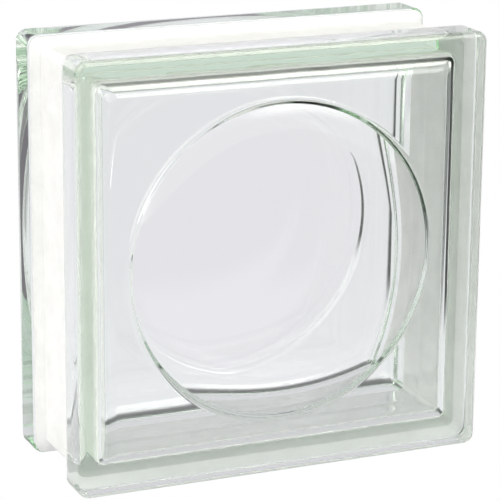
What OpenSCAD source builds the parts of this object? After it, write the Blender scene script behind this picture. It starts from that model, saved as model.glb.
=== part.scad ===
// Glass block: a hollow square building block of clear glass with a round lens in each face.
// Two pressed halves are fused into one piece, with a white coat in the mortar groove round its edge.
// It stands on its lower edge: width along X, depth along Y, height along Z, front face at -Y.

/* [Overall size] */

// Width of the block, flange to flange
block_w = 190; // [180:1:300]
// Height of the block, flange to flange
block_h = 190; // [180:1:300]
// Depth of the block, face to face
block_d = 80; // [70:1:120]

/* [Flanges and mortar groove] */

// Thickness of each flange along the depth
flange_t = 18; // [12:0.5:24]
// Radius of the four corners of each flange
corner_r = 5; // [3.5:0.25:12]
// Radius of the arris round each face
arris_r = 3; // [1:0.25:3.25]
// Small radius on the groove side of each flange
lip_r = 0.75; // [0.5:0.25:1.5]
// Depth of the mortar groove below the flanges
groove_depth = 5.5; // [4:0.25:6.5]
// Radius of the groove floor at the four corners
groove_corner_r = 3; // [2:0.25:8]
// Slope of the shoulders between flange and groove floor, in degrees
shoulder_angle = 30; // [5:1:45]

/* [Cavity] */

// Thickness of each face plate outside the lens
plate_t = 10; // [9:0.25:14]
// Thickness from the outer edge of the flange to the cavity
wall_t = 10.5; // [9.5:0.25:13]
// Radius of the cavity's four long corners
cavity_corner_r = 4; // [2:0.25:10]
// Radius between the plates and the side walls
cavity_fillet_r = 8.8; // [3:0.1:10]

/* [Lens] */

// Radius of the round recess where it meets the inner face of the plate
lens_r = 73; // [60:0.5:75]
// Radius of the rounded rim of the recess
rim_r = 4; // [1:0.25:4.5]
// Width of the flank, from rim to foot
flank_w = 3.8; // [3.6:0.1:6]
// Slope of the flank, in degrees
flank_angle = 50; // [30:1:52]
// Radius of the flat middle of the lens
flat_r = 54; // [20:1:60]
// Slope of the dished floor at the foot of the flank, in degrees
dish_angle = 13; // [2:1:18]

/* [Edge coating] */

// Thickness of the white coat in the groove
coat_t = 0.4; // [0.2:0.05:1]
// Width of bare glass left between the coat and the lip of each flange
coat_setback = 0.1; // [0.05:0.05:0.3]

/* [Hidden] */

$fn = 96;

half_d = block_d / 2;
back_v = half_d - flange_t;

slab_w = block_w - 2 * corner_r;
slab_h = block_h - 2 * corner_r;
arris_u = corner_r - arris_r;
arris_v = half_d - arris_r;
lip_u = corner_r - lip_r;
lip_v = back_v + lip_r;

core_w = block_w - 2 * groove_depth - 2 * groove_corner_r;
core_h = block_h - 2 * groove_depth - 2 * groove_corner_r;
ledge = 0.5;
shoulder_w = groove_depth - lip_r - ledge;
shoulder_u = groove_corner_r + shoulder_w;
floor_v = back_v - shoulder_w * tan(shoulder_angle);

plate_v = half_d - plate_t;
cavity_half_w = block_w / 2 - wall_t;
cavity_half_h = block_h / 2 - wall_t;
fillet_v = plate_v - cavity_fillet_r;
corner_break = 0.3;
corner_half_w = cavity_half_w + corner_break;
corner_half_h = cavity_half_h + corner_break;

foot_r = lens_r - flank_w;
rim_u = lens_r - rim_r * sin(flank_angle);
rim_break = 8;
rim_c = plate_v + rim_r * cos(rim_break);
rim_v = rim_c - rim_r * cos(flank_angle);
foot_v = rim_v + (rim_u - foot_r) * tan(flank_angle);
dish_r = (foot_r - flat_r) / sin(dish_angle);
dish_v = foot_v + dish_r * (1 - cos(dish_angle));

coat_u = shoulder_u + ledge - coat_setback;
coat_turn_u = shoulder_u + coat_t * tan(shoulder_angle / 2);
coat_floor_v = floor_v + coat_t * tan(shoulder_angle) - coat_t / cos(shoulder_angle);

glass_tint = [0.80, 0.90, 0.86, 0.45];
coat_white = [0.96, 0.96, 0.94];

// The whole block of glass: flanged body, sealed cavity and a round lens in each plate
module glass_body() {
    color(glass_tint)
    lift()
    difference() {
        union() {
            swept(core_w, core_h) both_ways() core_section();
            swept(slab_w, slab_h) both_ways() flange_section();
        }
        cavity();
        lens();
        mirror([0, 0, 1]) lens();
    }
}

// White coat on the groove floor, its two shoulders and the backs of the flanges
module edge_coating() {
    color(coat_white)
    lift()
    swept(core_w, core_h) both_ways() coat_section();
}

// Turns the flat-lying block upright, with its lower edge at Z = 0
module lift() {
    translate([0, 0, block_h / 2])
    rotate([90, 0, 0])
    children();
}

// Carries a half section (u outwards, v along the depth) round a rectangle with rounded corners.
// $back is how far the section reaches in behind u = 0.
module swept(w, h) {
    rotate([90, 0, 0])
    linear_extrude(height = h, center = true)
    for (m = [0, 1]) {
        mirror([m, 0]) translate([w / 2, 0]) filled(w / 2) children();
    }
    rotate([0, 0, 90])
    rotate([90, 0, 0])
    linear_extrude(height = w, center = true)
    for (m = [0, 1]) {
        mirror([m, 0]) translate([h / 2, 0]) filled(0) children();
    }
    for (mx = [0, 1]) {
        for (my = [0, 1]) {
            mirror([mx, 0, 0])
            mirror([0, my, 0])
            translate([w / 2, h / 2, 0])
            rotate_extrude(angle = 90) filled(0) children();
        }
    }
}

// Sets how far a section reaches in towards the middle
module filled(back) {
    $back = back;
    children();
}

// A section and its mirror image about the mid-plane
module both_ways() {
    children();
    mirror([0, 1]) children();
}

// Middle of one half: groove floor, then the shoulder up to the back of the flange
module core_section() {
    polygon([
        [-$back, 0],
        [groove_corner_r, 0],
        [groove_corner_r, floor_v],
        [shoulder_u, back_v],
        [shoulder_u, lip_v],
        [-$back, lip_v]
    ]);
}

// One flange: lip, outer edge and arris
module flange_section() {
    polygon([
        [-$back, back_v],
        [lip_u, back_v],
        [lip_u, lip_v],
        [corner_r, lip_v],
        [corner_r, arris_v],
        [arris_u, arris_v],
        [arris_u, half_d],
        [-$back, half_d]
    ]);
    translate([lip_u, lip_v]) circle(r = lip_r);
    intersection() {
        translate([arris_u, arris_v]) circle(r = arris_r);
        translate([0, arris_v]) square([corner_r, arris_r]);
    }
}

// Hollow inside: filleted across the width and the height, with rounded long corners
module cavity() {
    intersection() {
        rotate([90, 0, 0])
        linear_extrude(height = block_h, center = true)
        both_ways() cavity_section(cavity_half_w);
        rotate([0, 0, 90])
        rotate([90, 0, 0])
        linear_extrude(height = block_w, center = true)
        both_ways() cavity_section(cavity_half_h);
        linear_extrude(height = block_d, center = true)
        rounded(corner_half_w, corner_half_h, cavity_corner_r + corner_break);
    }
}

// Inside of one half: side walls, fillets and flat plate
module cavity_section(w) {
    polygon([
        [-w, 0],
        [w, 0],
        [w, fillet_v],
        [w - cavity_fillet_r, fillet_v],
        [w - cavity_fillet_r, plate_v],
        [cavity_fillet_r - w, plate_v],
        [cavity_fillet_r - w, fillet_v],
        [-w, fillet_v]
    ]);
    for (m = [0, 1]) {
        mirror([m, 0]) translate([w - cavity_fillet_r, fillet_v]) circle(r = cavity_fillet_r);
    }
}

// Rectangle with rounded corners, given by its half width and half height
module rounded(w, h, r) {
    square([2 * w, 2 * h - 2 * r], center = true);
    square([2 * w - 2 * r, 2 * h], center = true);
    for (mx = [0, 1]) {
        for (my = [0, 1]) {
            mirror([mx, 0]) mirror([0, my]) translate([w - r, h - r]) circle(r = r);
        }
    }
}

// Coat over half of the groove: floor, shoulder and back of the flange
module coat_section() {
    polygon([
        [groove_corner_r, 0],
        [groove_corner_r + coat_t, 0],
        [groove_corner_r + coat_t, coat_floor_v],
        [coat_turn_u, back_v - coat_t],
        [coat_u, back_v - coat_t],
        [coat_u, back_v],
        [shoulder_u, back_v],
        [groove_corner_r, floor_v]
    ]);
}

// Round recess in the inner face of one plate: rounded rim, steep flank, dished floor
module lens() {
    rotate_extrude() {
        difference() {
            polygon([
                [0, plate_v - 1],
                [lens_r, plate_v - 1],
                [lens_r, plate_v],
                [rim_u, rim_v],
                [foot_r, foot_v],
                [flat_r, dish_v],
                [0, dish_v]
            ]);
            translate([lens_r, rim_c]) circle(r = rim_r);
        }
        intersection() {
            translate([flat_r, dish_v - dish_r]) circle(r = dish_r, $fn = 256);
            translate([flat_r, plate_v]) square([foot_r - flat_r, dish_v - plate_v]);
        }
    }
}

glass_body();
edge_coating();
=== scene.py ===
import math
import bpy
import numpy as np
from mathutils import Matrix, Vector, noise


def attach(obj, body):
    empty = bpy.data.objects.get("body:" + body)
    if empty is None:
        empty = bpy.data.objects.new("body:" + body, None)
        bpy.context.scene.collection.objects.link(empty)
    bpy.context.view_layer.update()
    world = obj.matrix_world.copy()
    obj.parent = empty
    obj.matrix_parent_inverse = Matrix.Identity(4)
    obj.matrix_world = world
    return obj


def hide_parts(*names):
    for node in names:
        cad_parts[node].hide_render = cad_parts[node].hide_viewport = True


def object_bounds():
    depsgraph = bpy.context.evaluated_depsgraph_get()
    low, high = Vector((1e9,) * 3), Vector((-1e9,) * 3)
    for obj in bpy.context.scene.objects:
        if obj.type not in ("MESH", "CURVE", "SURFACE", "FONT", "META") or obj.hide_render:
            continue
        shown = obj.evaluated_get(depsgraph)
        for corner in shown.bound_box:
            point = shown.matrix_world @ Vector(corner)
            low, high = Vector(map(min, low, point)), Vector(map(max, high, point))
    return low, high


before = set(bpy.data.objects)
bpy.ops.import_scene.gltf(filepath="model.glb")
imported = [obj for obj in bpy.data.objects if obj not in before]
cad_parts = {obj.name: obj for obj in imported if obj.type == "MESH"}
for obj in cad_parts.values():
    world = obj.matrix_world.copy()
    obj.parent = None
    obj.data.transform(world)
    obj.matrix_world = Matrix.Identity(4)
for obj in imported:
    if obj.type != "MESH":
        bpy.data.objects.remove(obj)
cad_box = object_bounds()


# ---------------------------------------------------------------- angles in degrees, as in the source
def sin(degrees):
    return math.sin(math.radians(degrees))


def cos(degrees):
    return math.cos(math.radians(degrees))


def tan(degrees):
    return math.tan(math.radians(degrees))


# ---------------------------------------------------------------- sizes in mm and degrees, as in the source
BLOCK_W, BLOCK_D, BLOCK_H = (round(1000 * (high - low), 3) for low, high in zip(*cad_box))
FLANGE_T, CORNER_R, ARRIS_R, LIP_R = 18.0, 5.0, 3.0, 0.75
GROOVE, GROOVE_R, SHOULDER_A, LEDGE = 5.5, 3.0, 30, 0.5
PLATE_T, WALL_T, CAVITY_R, FILLET_R = 10.0, 10.5, 4.0, 8.8
LENS_R, FLAT_R, RIM_R, FLANK_W = 73.0, 54.0, 4.0, 3.8
FLANK_A, DISH_A = 50, 13
COAT_T, COAT_BACK = 0.4, 0.1

# worked out from those: "v" is a depth from the middle of the block
HALF_D = BLOCK_D / 2
BACK_V = HALF_D - FLANGE_T
FLOOR_V = BACK_V - (GROOVE - LIP_R - LEDGE) * tan(SHOULDER_A)
PLATE_V = HALF_D - PLATE_T
FILLET_V = PLATE_V - FILLET_R
FOOT_R = LENS_R - FLANK_W
RIM_U = LENS_R - RIM_R * sin(FLANK_A)
RIM_V = PLATE_V + RIM_R * (1 - cos(FLANK_A))
FOOT_V = RIM_V + (RIM_U - FOOT_R) * tan(FLANK_A)
DISH_R = (FOOT_R - FLAT_R) / sin(DISH_A)
DISH_V = FOOT_V + DISH_R * (1 - cos(DISH_A))

# what this script adds to the solids
EMBED = 0.06                            # how far the coat's inner side lies in the glass
FOOT_FILLET_R = 0.8                     # where the dished floor meets the flank
PLATE_CORNER_R = 3.0                    # corner of the cavity's flat plate
RIPPLE_PLATE, RIPPLE_WALL = 0.02, 0.14  # unevenness of the plates, and what the walls have on top
RIPPLE_LENGTH = 21.0                    # from one swell to the next
FINE_RIPPLE, FINE_SCALE = 0.2, 2.3      # a second, finer ripple: its share, and how much finer
WALL_FROM, WALL_BLEND = 76.0, 8.0       # where the plates' ripple gives way to the walls'
SEAM_H, SEAM_W = 0.5, 1.8               # bead where the two halves are fused

# how finely each stretch is divided: (along a side, round a corner), then the steps of each curve
OUTER_STEPS, INNER_STEPS, COAT_STEPS = (12, 14), (72, 10), (24, 10)
ARRIS_STEPS, LIP_STEPS, STRAIGHT_STEPS = 12, 6, 3
FLAT_STEPS, DISH_STEPS, FOOT_STEPS, FLANK_STEPS, RIM_STEPS = 24, 24, 8, 6, 16
FILLET_STEPS, WALL_STEPS = 28, 26
# where the rings of the flats lie: from the middle of a face to its arris, and from a lens to the fillet
FACE_RINGS = (0.25, 0.6, 0.95, 0.995)
PLATE_RINGS = (0.05, 0.2, 0.4, 0.6, 0.8, 0.95)


# ---------------------------------------------------------------- outlines
def arc(centre_u, centre_v, r, start, end, steps):
    """Points on an arc, both ends included; angles in degrees."""
    angles = [start + (end - start) * i / steps for i in range(steps + 1)]
    return [(centre_u + r * cos(a), centre_v + r * sin(a)) for a in angles]


def line(p, q, steps):
    """Points strictly between p and q."""
    return [(p[0] + (q[0] - p[0]) * i / steps, p[1] + (q[1] - p[1]) * i / steps) for i in range(1, steps)]


def stations(side_steps, corner_steps):
    """A walk round a square with round corners: corner weights in X and Z, then the outward direction."""
    out = []
    corners = [(1, 1, 0), (-1, 1, 90), (-1, -1, 180), (1, -1, 270)]
    for c, (x, z, start) in enumerate(corners):
        for i in range(corner_steps + 1):
            a = start + 90 * i / corner_steps
            out.append((x, z, cos(a), sin(a)))
        next_x, next_z, _ = corners[(c + 1) % 4]
        for i in range(1, side_steps):
            f = i / side_steps
            out.append((x + (next_x - x) * f, z + (next_z - z) * f, cos(start + 90), sin(start + 90)))
    return np.array(out)


def ring(walk, inset, r, v):
    """The block's outline, moved in by inset, with corner radius r, at depth v."""
    points = np.empty((len(walk), 3))
    points[:, 0] = walk[:, 0] * (BLOCK_W / 2 - inset - r) + r * walk[:, 2]
    points[:, 1] = v
    points[:, 2] = walk[:, 1] * (BLOCK_H / 2 - inset - r) + r * walk[:, 3]
    return points


def groove_radius(inset):
    """Corner radius on the shoulder, between that of the lip and that of the groove floor."""
    f = (inset - LIP_R) / (GROOVE - LIP_R)
    return (CORNER_R - LIP_R) * (1 - f) + GROOVE_R * f


def mirrored(points):
    """The same ring on the other side of the mid-plane."""
    return points * (1, -1, 1)


def strips(rings, wrap):
    """Quads from each ring to the next; wrap also joins the last one to the first."""
    n, count = len(rings[0]), len(rings)
    faces = []
    for i in range(count if wrap else count - 1):
        a, b = i * n, (i + 1) % count * n
        for j in range(n):
            k = (j + 1) % n
            faces.append((a + j, a + k, b + k, b + j))
    return faces


def capped(rings):
    """A closed skin over the rings, with a fan over the first and the last."""
    n = len(rings[0])
    faces = strips(rings, wrap=False)
    end = len(rings) * n
    for j in range(n):
        k = (j + 1) % n
        faces.append((end, k, j))
        faces.append((end + 1, end - n + j, end - n + k))
    return np.vstack(rings + [rings[0].mean(0), rings[-1].mean(0)]), faces


# ---------------------------------------------------------------- glass
def outer_shell():
    """Flanges and groove: faces, arrises, lips, shoulders and groove floor."""
    walk = stations(*OUTER_STEPS)
    # (inset, depth) of one half, from the arris to the groove floor
    half = [(ARRIS_R - u, v) for u, v in arc(0, HALF_D - ARRIS_R, ARRIS_R, 90, 0, ARRIS_STEPS)]
    half += line((0, HALF_D - ARRIS_R), (0, BACK_V + LIP_R), STRAIGHT_STEPS)
    half += [(LIP_R - u, v) for u, v in arc(0, BACK_V + LIP_R, LIP_R, 0, -90, LIP_STEPS)]
    half += [(LIP_R + LEDGE, BACK_V)]
    half += line((LIP_R + LEDGE, BACK_V), (GROOVE, FLOOR_V), STRAIGHT_STEPS)
    half += [(GROOVE, FLOOR_V)]

    def radius(inset, v):
        if abs(v) >= BACK_V:
            return CORNER_R - inset
        return groove_radius(inset)

    section = half + [(inset, -v) for inset, v in reversed(half)]
    rings = [ring(walk, inset, radius(inset, v), v) for inset, v in section]
    front, back = ([edge * (f, 1, f) for f in FACE_RINGS] for edge in (rings[0], rings[-1]))
    return capped(front + rings + back[::-1])


def lens_section():
    """(radius, depth) from the middle of the lens to its rim: flat, dish, foot, flank, rounded rim."""
    flat = [(FLAT_R * i / FLAT_STEPS, DISH_V) for i in range(1, FLAT_STEPS + 1)]
    dish = arc(FLAT_R, DISH_V - DISH_R, DISH_R, 90, 90 - DISH_A, DISH_STEPS)[1:]
    # the foot's fillet is tangent to the floor and to the flank
    tangent = FOOT_FILLET_R * tan((FLANK_A - DISH_A) / 2)
    starts = FOOT_R - tangent * cos(DISH_A)
    centre_u = starts - FOOT_FILLET_R * sin(DISH_A)
    centre_v = FOOT_V + tangent * sin(DISH_A) - FOOT_FILLET_R * cos(DISH_A)
    foot = arc(centre_u, centre_v, FOOT_FILLET_R, 90 - DISH_A, 90 - FLANK_A, FOOT_STEPS)
    flank = line(foot[-1], (RIM_U, RIM_V), FLANK_STEPS)
    rim = arc(LENS_R, PLATE_V + RIM_R, RIM_R, -90 - FLANK_A, -90, RIM_STEPS)
    least_gap = 0.05
    return [p for p in flat + dish if p[0] < starts - least_gap] + foot + flank + rim


def inner_shell():
    """Cavity: the lens in each plate, the flat round it, the fillets and the walls up to the seam."""
    walk = stations(*INNER_STEPS)
    fillet = []
    for i in range(FILLET_STEPS + 1):
        turn = 1 - i / FILLET_STEPS
        inset = WALL_T + FILLET_R * (1 - cos(90 * turn))
        r = CAVITY_R + (PLATE_CORNER_R - CAVITY_R) * turn
        fillet.append(ring(walk, inset, r, FILLET_V + FILLET_R * sin(90 * turn)))
    edge = fillet[0]
    around = np.arctan2(edge[:, 2], edge[:, 0])
    lens = [np.stack([r * np.cos(around), np.full(len(around), v), r * np.sin(around)], 1)
            for r, v in lens_section()]
    plate = [lens[-1] * (1 - f) + edge * f for f in PLATE_RINGS]
    wall = [ring(walk, WALL_T, CAVITY_R, FILLET_V * (1 - i / WALL_STEPS)) for i in range(1, WALL_STEPS + 1)]
    half = lens + plate + fillet + wall
    points, faces = capped(half + [mirrored(points) for points in reversed(half[:-1])])
    return points, [tuple(reversed(face)) for face in faces]


def pressed(points, faces):
    """Adds the ripple of the pressed faces, larger on the walls than on the plates, and the seam's bead."""
    points = [Vector(p) for p in points]
    normals = [Vector((0, 0, 0)) for _ in points]
    for face in faces:
        first, second, third, *rest = (points[i] for i in face)
        normal = (second - first).cross(third - first)
        for fourth in rest:
            normal += (third - first).cross(fourth - first)
        for i in face:
            normals[i] += normal
    out = []
    for p, normal in zip(points, normals):
        wall = min(max((max(abs(p.x), abs(p.z)) - WALL_FROM) / WALL_BLEND, 0), 1)
        place = p / RIPPLE_LENGTH
        swell = noise.noise(place) + FINE_RIPPLE * noise.noise(place * FINE_SCALE + Vector((7, 3, 1)))
        bead = wall * SEAM_H * math.exp(-(p.y / SEAM_W) ** 2)
        out.append(p + normal.normalized() * ((RIPPLE_PLATE + RIPPLE_WALL * wall) * swell + bead))
    return np.array(out)


# ---------------------------------------------------------------- coat
def coat():
    """The coat over the backs of the flanges, the shoulders and the groove floor."""
    walk = stations(*COAT_STEPS)
    starts, bend = LIP_R + COAT_BACK, LIP_R + LEDGE

    def half_section(t):
        """(inset, depth) of one half, at a thickness t above the glass."""
        return [(starts, BACK_V - t), (bend - t * tan(SHOULDER_A / 2), BACK_V - t),
                (GROOVE - t, FLOOR_V + t * tan(SHOULDER_A) - t / cos(SHOULDER_A))]

    outer, inner = half_section(COAT_T), half_section(-EMBED)
    section = outer + [(inset, -v) for inset, v in reversed(outer)]
    section += [(inset, -v) for inset, v in inner] + inner[::-1]
    rings = [ring(walk, inset, groove_radius(inset), v) for inset, v in section]
    return np.vstack(rings), strips(rings, wrap=True)


# ---------------------------------------------------------------- pieces
def make(name, points, faces, smooth):
    """A mesh object from points in mm about the block's middle, standing on the floor in metres."""
    placed = np.array(points) / 1000 + (0, 0, BLOCK_H / 2000)
    mesh = bpy.data.meshes.new(name)
    mesh.from_pydata(placed.tolist(), [], faces)
    mesh.validate()
    for polygon in mesh.polygons:
        polygon.use_smooth = smooth
    ob = bpy.data.objects.new(name, mesh)
    bpy.context.collection.objects.link(ob)
    return ob


def weight_normals(ob):
    """Vertex normals weighted by face area, so that flats stay flat beside fillets."""
    normals = np.zeros((len(ob.data.vertices), 3))
    for polygon in ob.data.polygons:
        weighted = np.array(polygon.normal) * polygon.area
        for i in polygon.vertices:
            normals[i] += weighted
    normals /= np.maximum(np.linalg.norm(normals, axis=1, keepdims=True), 1e-12)
    ob.data.normals_split_custom_set_from_vertices(normals.tolist())


outer_points, outer_faces = outer_shell()
inner_points, inner_faces = inner_shell()
inner_points = pressed(inner_points, inner_faces)
inner_faces = [tuple(i + len(outer_points) for i in face) for face in inner_faces]
glass = make("glass_body_pressed", np.vstack([outer_points, inner_points]), outer_faces + inner_faces, True)
weight_normals(glass)
white = make("edge_coating_skin", *coat(), False)


# ---------------------------------------------------------------- node helpers
def feed(nt, value, socket):
    """Links value to the socket, or sets it there when it is a constant."""
    if isinstance(value, bpy.types.NodeSocket):
        nt.links.new(value, socket)
    else:
        socket.default_value = value


def ramp(nt, value, low, high, a, b, kind="SMOOTHSTEP"):
    """A change from a to b while value runs from low to high."""
    node = nt.nodes.new("ShaderNodeMapRange")
    node.interpolation_type = kind
    for name, level in (("From Min", low), ("From Max", high), ("To Min", a), ("To Max", b)):
        node.inputs[name].default_value = level
    nt.links.new(value, node.inputs["Value"])
    return node.outputs["Result"]


def calc(nt, operation, *values):
    """One maths node; the values are sockets or plain numbers."""
    node = nt.nodes.new("ShaderNodeMath")
    node.operation = operation
    for value, socket in zip(values, node.inputs):
        feed(nt, value, socket)
    return node.outputs["Value"]


def product(nt, *values):
    """All the values multiplied."""
    out = values[0]
    for value in values[1:]:
        out = calc(nt, "MULTIPLY", out, value)
    return out


def total(nt, *values):
    """All the values added."""
    out = values[0]
    for value in values[1:]:
        out = calc(nt, "ADD", out, value)
    return out


def blend(nt, factor, a, b):
    """Colour a where factor is 0, and b where it is 1."""
    node = nt.nodes.new("ShaderNodeMix")
    node.data_type = "RGBA"
    node.inputs["A"].default_value = a
    node.inputs["B"].default_value = b
    nt.links.new(factor, node.inputs["Factor"])
    return node.outputs["Result"]


def split(nt, source):
    """The X, Y and Z of a vector."""
    node = nt.nodes.new("ShaderNodeSeparateXYZ")
    nt.links.new(source, node.inputs["Vector"])
    return [node.outputs[axis] for axis in "XYZ"]


# ---------------------------------------------------------------- materials
def new_material(name):
    """An empty material, its node tree and its shader."""
    material = bpy.data.materials.new(name)
    material.use_nodes = True
    return material, material.node_tree, material.node_tree.nodes["Principled BSDF"]


def grain(nt, scale, detail):
    """Noise fixed to the object, scale in cycles per metre."""
    place = nt.nodes.new("ShaderNodeTexCoord")
    node = nt.nodes.new("ShaderNodeTexNoise")
    node.inputs["Scale"].default_value = scale
    node.inputs["Detail"].default_value = detail
    nt.links.new(place.outputs["Object"], node.inputs["Vector"])
    return node.outputs[0]


def bump(nt, height, distance, shader):
    """Raises the skin by up to distance, in metres."""
    node = nt.nodes.new("ShaderNodeBump")
    node.inputs["Distance"].default_value = distance
    nt.links.new(height, node.inputs["Height"])
    nt.links.new(node.outputs["Normal"], shader.inputs["Normal"])


def clear_glass():
    """Soda-lime glass: green with depth, with a very slightly wavy fire-polished skin."""
    material, nt, shader = new_material("clear_glass")
    shader.inputs["Base Color"].default_value = (1, 1, 1, 1)
    shader.inputs["Roughness"].default_value = 0.0
    shader.inputs["IOR"].default_value = 1.52
    shader.inputs["Transmission Weight"].default_value = 1.0
    bump(nt, grain(nt, 40.0, 1.0), 0.00003, shader)
    tint = nt.nodes.new("ShaderNodeVolumeAbsorption")
    tint.inputs["Color"].default_value = (0.55, 0.80, 0.56, 1)
    tint.inputs["Density"].default_value = 10.0
    nt.links.new(tint.outputs["Volume"], nt.nodes["Material Output"].inputs["Volume"])
    return material


def white_coating():
    """A translucent white coat: cloudy where it is thin, with a fine grain."""
    material, nt, shader = new_material("white_coating")
    cloud = ramp(nt, grain(nt, 55.0, 5.0), 0.38, 0.60, 0.0, 1.0, "LINEAR")
    nt.links.new(blend(nt, cloud, (0.90, 0.90, 0.86, 1), (1.0, 1.0, 0.96, 1)), shader.inputs["Base Color"])
    nt.links.new(ramp(nt, grain(nt, 300.0, 3.0), 0.3, 0.7, 0.6, 0.8, "LINEAR"), shader.inputs["Roughness"])
    bump(nt, grain(nt, 900.0, 4.0), 0.0002, shader)
    shader.inputs["Subsurface Weight"].default_value = 1.0
    shader.inputs["Subsurface Radius"].default_value = (1.0, 1.0, 1.0)
    shader.inputs["Subsurface Scale"].default_value = 0.004
    return material


for ob, node, slot, material in ((glass, "glass_body", "clear_glass", clear_glass()),
                                 (white, "edge_coating", "white_coating", white_coating())):
    ob.data.materials.append(material)
    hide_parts(node)
    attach(ob, "root")

# ---------------------------------------------------------------- studio
scene = bpy.context.scene
scene.view_settings.view_transform = "Standard"
SWEEP = (0.92, 0.89, 0.95, 1)
NEUTRAL = (0.96, 0.95, 0.91, 1)


def heading(nt, x, y):
    """Sine and cosine of the compass heading of (x, y), and its length."""
    length = calc(nt, "SQRT", total(nt, product(nt, x, x), product(nt, y, y)))
    return calc(nt, "DIVIDE", x, length), calc(nt, "DIVIDE", y, length), length


def seen_white(nt, kind, color, strength, output):
    """The camera sees plain white; the block is lit by color times strength."""
    lit, plain = nt.nodes.new(kind), nt.nodes.new(kind)
    feed(nt, color, lit.inputs["Color"])
    feed(nt, strength, lit.inputs["Strength"])
    plain.inputs["Color"].default_value = (1, 1, 1, 1)
    path = nt.nodes.new("ShaderNodeLightPath")
    mix = nt.nodes.new("ShaderNodeMixShader")
    nt.links.new(path.outputs["Is Camera Ray"], mix.inputs["Fac"])
    nt.links.new(lit.outputs[0], mix.inputs[1])
    nt.links.new(plain.outputs[0], mix.inputs[2])
    nt.links.new(mix.outputs["Shader"], nt.nodes[output].inputs["Surface"])


def studio_room():
    """Light by direction: a pale sweep, soft lights at the left and in front, a dark area to the right."""
    world = bpy.data.worlds.new("studio")
    scene.world = world
    world.use_nodes = True
    nt = world.node_tree
    nt.nodes.remove(nt.nodes["Background"])
    # x to the right, y away from the front face, z up; east and north are the heading's parts
    x, y, z = split(nt, nt.nodes.new("ShaderNodeTexCoord").outputs["Generated"])
    east, north, _ = heading(nt, x, y)

    is_left = ramp(nt, x, -0.35, -0.12, 1.0, 0.0)
    front = product(nt, ramp(nt, y, -0.6, -0.1, 1.2, 0.0), ramp(nt, z, 0.2, 0.45, 0.0, 1.0))
    front_left = product(nt, is_left, ramp(nt, y, -0.35, -0.1, 2.4, 0.0))
    back_left = product(nt, is_left, ramp(nt, y, 0.1, 0.35, 0.0, 1.5))
    front_right = product(nt, ramp(nt, x, 0.2, 0.4, 0.0, 5.5), ramp(nt, north, -0.74, -0.62, 1.0, 0.0),
                          ramp(nt, z, 0.2, 0.4, 0.0, 1.0))
    sweep = product(nt, ramp(nt, x, -0.95, -0.7, 0.8, 1.0), ramp(nt, z, 0.4, 0.8, 1.0, 0.35))
    sweep_fades = product(nt, ramp(nt, y, 0.2, 0.5, 0.0, 0.06), ramp(nt, z, 0.02, 0.16, 0.0, 1.0))
    dark = product(nt, ramp(nt, east, 0.84, 0.9, 0.0, 0.985), ramp(nt, z, 0.84, 0.92, 1.0, 0.0),
                   ramp(nt, north, -0.64, -0.54, 0.0, 1.0))
    level = total(nt, calc(nt, "SUBTRACT", sweep, sweep_fades), front, front_left, back_left, front_right)
    level = product(nt, level, calc(nt, "SUBTRACT", 1.0, dark))
    is_sweep = product(nt, ramp(nt, y, 0.2, 0.6, 0.0, 1.0), ramp(nt, x, -0.6, -0.3, 0.0, 1.0))
    seen_white(nt, "ShaderNodeBackground", blend(nt, is_sweep, NEUTRAL, SWEEP), level, "World Output")


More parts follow.
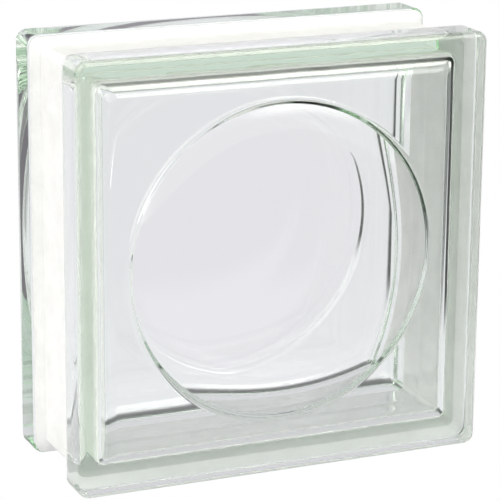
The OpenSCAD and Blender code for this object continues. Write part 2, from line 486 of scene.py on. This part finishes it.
def studio_floor():
    """A plain pale floor that the camera sees white; its glow, which lights the block, carries painted
    shade: darker in front and to the right, with a painted shadow under and round the block.
    """
    reach = 3
    mesh = bpy.data.meshes.new("floor")
    corners = [(-reach, -reach, 0), (reach, -reach, 0), (reach, reach, 0), (-reach, reach, 0)]
    mesh.from_pydata(corners, [], [(0, 1, 2, 3)])
    floor = bpy.data.objects.new("floor", mesh)
    bpy.context.collection.objects.link(floor)
    material, nt, shader = new_material("floor")
    nt.nodes.remove(shader)
    x, y, _ = split(nt, nt.nodes.new("ShaderNodeNewGeometry").outputs["Position"])
    east, north, away = heading(nt, x, y)

    beside = calc(nt, "SUBTRACT", calc(nt, "ABSOLUTE", x), BLOCK_W / 2000)
    behind = calc(nt, "SUBTRACT", calc(nt, "ABSOLUTE", y), BLOCK_D / 2000)
    outside = calc(nt, "MAXIMUM", beside, behind)
    # painted shadow: soft under the block, darkest along its edge, and back to full light a few millimetres
    # out
    under, edge = 0.75, 0.12
    painted_floor_shadow = product(nt, ramp(nt, outside, -0.004, 0.001, under, edge),
                      ramp(nt, outside, 0.002, 0.007, 1.0, 1 / edge))
    # painted shade on the floor's glow, in a wedge to the right
    dark = product(nt, ramp(nt, east, 0.83, 0.88, 0.0, 0.94), ramp(nt, north, -0.25, -0.1, 0.0, 1.0),
                   ramp(nt, away, 0.22, 0.32, 0.0, 1.0))
    # painted shade: the glow darker in front, times the painted shade to the right and the painted shadow
    # round the block
    level = product(nt, ramp(nt, y, -0.22, -0.12, 0.3, 1.0), calc(nt, "SUBTRACT", 1.0, dark), painted_floor_shadow)
    seen_white(nt, "ShaderNodeEmission", SWEEP, level, "Material Output")
    mesh.materials.append(material)


studio_room()
studio_floor()

# ---------------------------------------------------------------- camera
CAMERA_AZ, CAMERA_EL, CAMERA_DIST = -23.55, 15.591, 1.082377
CAMERA_TILT, CAMERA_ROLL = 0.216, 0.490
CAMERA_LENS = 175.5792


def outward(az, el):
    """Unit vector at azimuth az, from the front towards the right, and elevation el."""
    return Vector((sin(az) * cos(el), -cos(az) * cos(el), sin(el)))


def photo_camera():
    """The camera at the photograph's angle, tilted down a little more than at the block's middle."""
    away = outward(CAMERA_AZ, CAMERA_EL + CAMERA_TILT)
    level = Vector((cos(CAMERA_AZ), sin(CAMERA_AZ), 0))
    across = cos(CAMERA_ROLL) * level + sin(CAMERA_ROLL) * away.cross(level)
    place = Vector((0, 0, BLOCK_H / 2000)) + CAMERA_DIST * outward(CAMERA_AZ, CAMERA_EL)
    data = bpy.data.cameras.new("camera")
    data.sensor_width = 36
    data.lens = CAMERA_LENS
    data.clip_end = 20
    camera = bpy.data.objects.new("camera", data)
    bpy.context.collection.objects.link(camera)
    turned = Matrix((across, away.cross(across), away)).transposed()
    camera.matrix_world = Matrix.Translation(place) @ turned.to_4x4()
    scene.camera = camera


photo_camera()
scene.cycles.max_bounces = 48
scene.cycles.transmission_bounces = 40
scene.cycles.glossy_bounces = 16
scene.cycles.diffuse_bounces = 16
